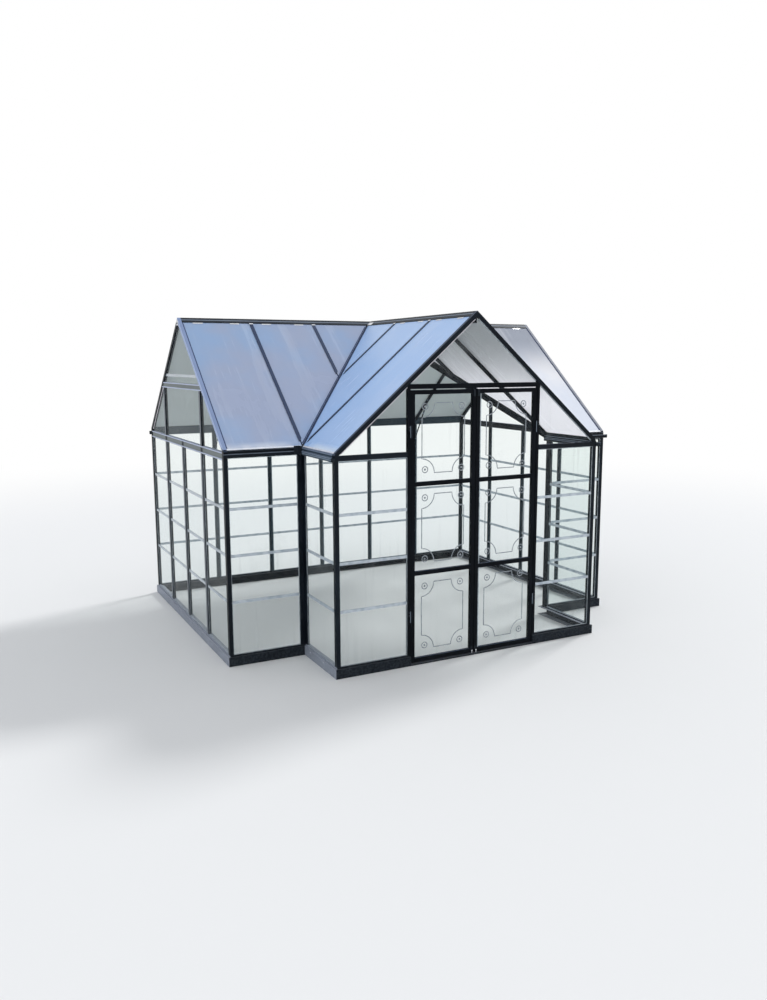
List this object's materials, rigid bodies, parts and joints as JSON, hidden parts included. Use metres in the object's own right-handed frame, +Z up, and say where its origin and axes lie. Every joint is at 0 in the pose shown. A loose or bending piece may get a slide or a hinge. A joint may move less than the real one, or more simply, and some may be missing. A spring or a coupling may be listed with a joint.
{
  "type": "glass greenhouse",
  "caption": "Glass greenhouse on a T plan: dark aluminium frame, clear panes, milky roof sheets, hall with two gables and a gabled bay with a hinged double door.",
  "frame": {"origin": "on the ground at the middle of the plan", "axes": "+Z up; X along the hall from gable to gable; the bay with the double door faces -Y"},
  "size_m": [3.648, 3.1426, 2.6913],
  "materials": {
    "frame_paint": "dark grey powder-coated aluminium, satin",
    "base_steel": "dark grey painted steel, satin",
    "roof_sheet": "milky twin-wall roof sheet with fine flutes down the slope",
    "clear_pane": "clear pane, lightly rippled",
    "clear_strip": "translucent clear plastic profile"
  },
  "bodies": {
    "frame": {"side_bases": "base_steel", "back_base": "base_steel", "wing_bases": "base_steel", "bay_bases": "base_steel", "front_bases": "base_steel", "door_threshold": "base_steel", "left_wall_posts": "frame_paint", "right_wall_posts": "frame_paint", "back_wall_posts": "frame_paint", "hall_corner_posts": "frame_paint", "bay_corner_posts": "frame_paint", "door_posts": "frame_paint", "back_eave": "frame_paint", "wing_eaves": "frame_paint", "bay_eaves": "frame_paint", "tie_beams": "frame_paint", "gable_rails": "frame_paint", "front_rails": "frame_paint", "door_header": "frame_paint", "left_gable_rafters": "frame_paint", "right_gable_rafters": "frame_paint", "front_gable_rafters": "frame_paint", "hall_ridge": "frame_paint", "bay_ridge": "frame_paint", "valley_rafters": "frame_paint", "front_roof_bars": "frame_paint", "back_roof_bars": "frame_paint", "bay_roof_bars": "frame_paint", "roof_braces": "frame_paint", "back_roof_sheets": "roof_sheet", "left_roof_sheets": "roof_sheet", "right_roof_sheets": "roof_sheet", "bay_left_roof_sheets": "roof_sheet", "bay_right_roof_sheets": "roof_sheet", "left_wall_panes": "clear_pane", "right_wall_panes": "clear_pane", "back_wall_panes": "clear_pane", "wing_panes": "clear_pane", "bay_side_panes": "clear_pane", "front_panes": "clear_pane", "joint_strips": "clear_strip"},
    "left_door": {"left_door_frame": "frame_paint", "left_door_panes": "clear_pane", "left_door_scrollwork": "clear_strip"},
    "right_door": {"right_door_frame": "frame_paint", "right_door_panes": "clear_pane", "right_door_scrollwork": "clear_strip"}
  },
  "joints": [
    {"name": "left_door_hinge", "type": "hinge", "parent": "frame", "child": "left_door", "pos_m": [-0.57125, -1.5643, 1], "axis": [0, 0, 1], "range_deg": [-110, 0]},
    {"name": "right_door_hinge", "type": "hinge", "parent": "frame", "child": "right_door", "pos_m": [0.57125, -1.5643, 1], "axis": [0, 0, 1], "range_deg": [0, 110]}
  ]
}
